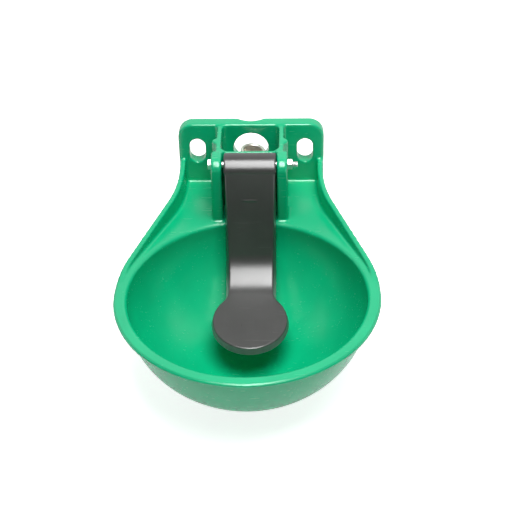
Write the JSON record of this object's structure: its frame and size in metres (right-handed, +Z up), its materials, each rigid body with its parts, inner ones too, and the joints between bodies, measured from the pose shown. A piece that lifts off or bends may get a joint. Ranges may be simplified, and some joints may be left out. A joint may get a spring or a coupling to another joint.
{
  "type": "livestock drinking bowl",
  "caption": "Wall or post mounted moulded livestock drinking bowl with a hinged pressing tongue that opens a sprung angle valve fed from above.",
  "frame": {"origin": "on the wall plane, midway between the two fixing slots", "axes": "+Z up, the bowl stands out towards -Y, +X to the right of someone facing the wall"},
  "size_m": [0.256, 0.332, 0.1768],
  "materials": {
    "green": "moulded, satin gloss",
    "charcoal": "moulded, satin",
    "zinc": "bright zinc plate",
    "brass": "dull plated brass",
    "steel": "stainless",
    "rubber": "black rubber",
    "nylon": "natural nylon"
  },
  "bodies": {
    "housing": {"bowl_body": "green", "hinge_bolt": "zinc", "hinge_nut": "zinc", "valve_body": "brass", "valve_gasket": "rubber", "valve_lock_nut": "brass", "seat_insert": "nylon", "seat_o_ring": "rubber", "return_spring": "steel", "spring_plug": "brass", "plug_seal": "rubber"},
    "tongue": {"tongue": "charcoal"},
    "stem": {"valve_stem": "steel", "stem_seal": "rubber", "seal_retainer": "brass"}
  },
  "joints": [
    {"name": "tongue_hinge", "type": "hinge", "parent": "housing", "child": "tongue", "pos_m": [0, -0.074, 0.023], "axis": [1, 0, 0], "range_deg": [0, 4.3]},
    {"name": "stem_slide", "type": "slide", "parent": "housing", "child": "stem", "axis": [0, 1, 0], "range_m": [0, 0.0024], "stiffness_N_per_m": 600, "springref_m": -0.01, "deforming": ["return_spring"]}
  ],
  "couplings": [
    {"joint": "stem_slide", "follows": "tongue_hinge", "m_per_rad": 0.0315}
  ]
}
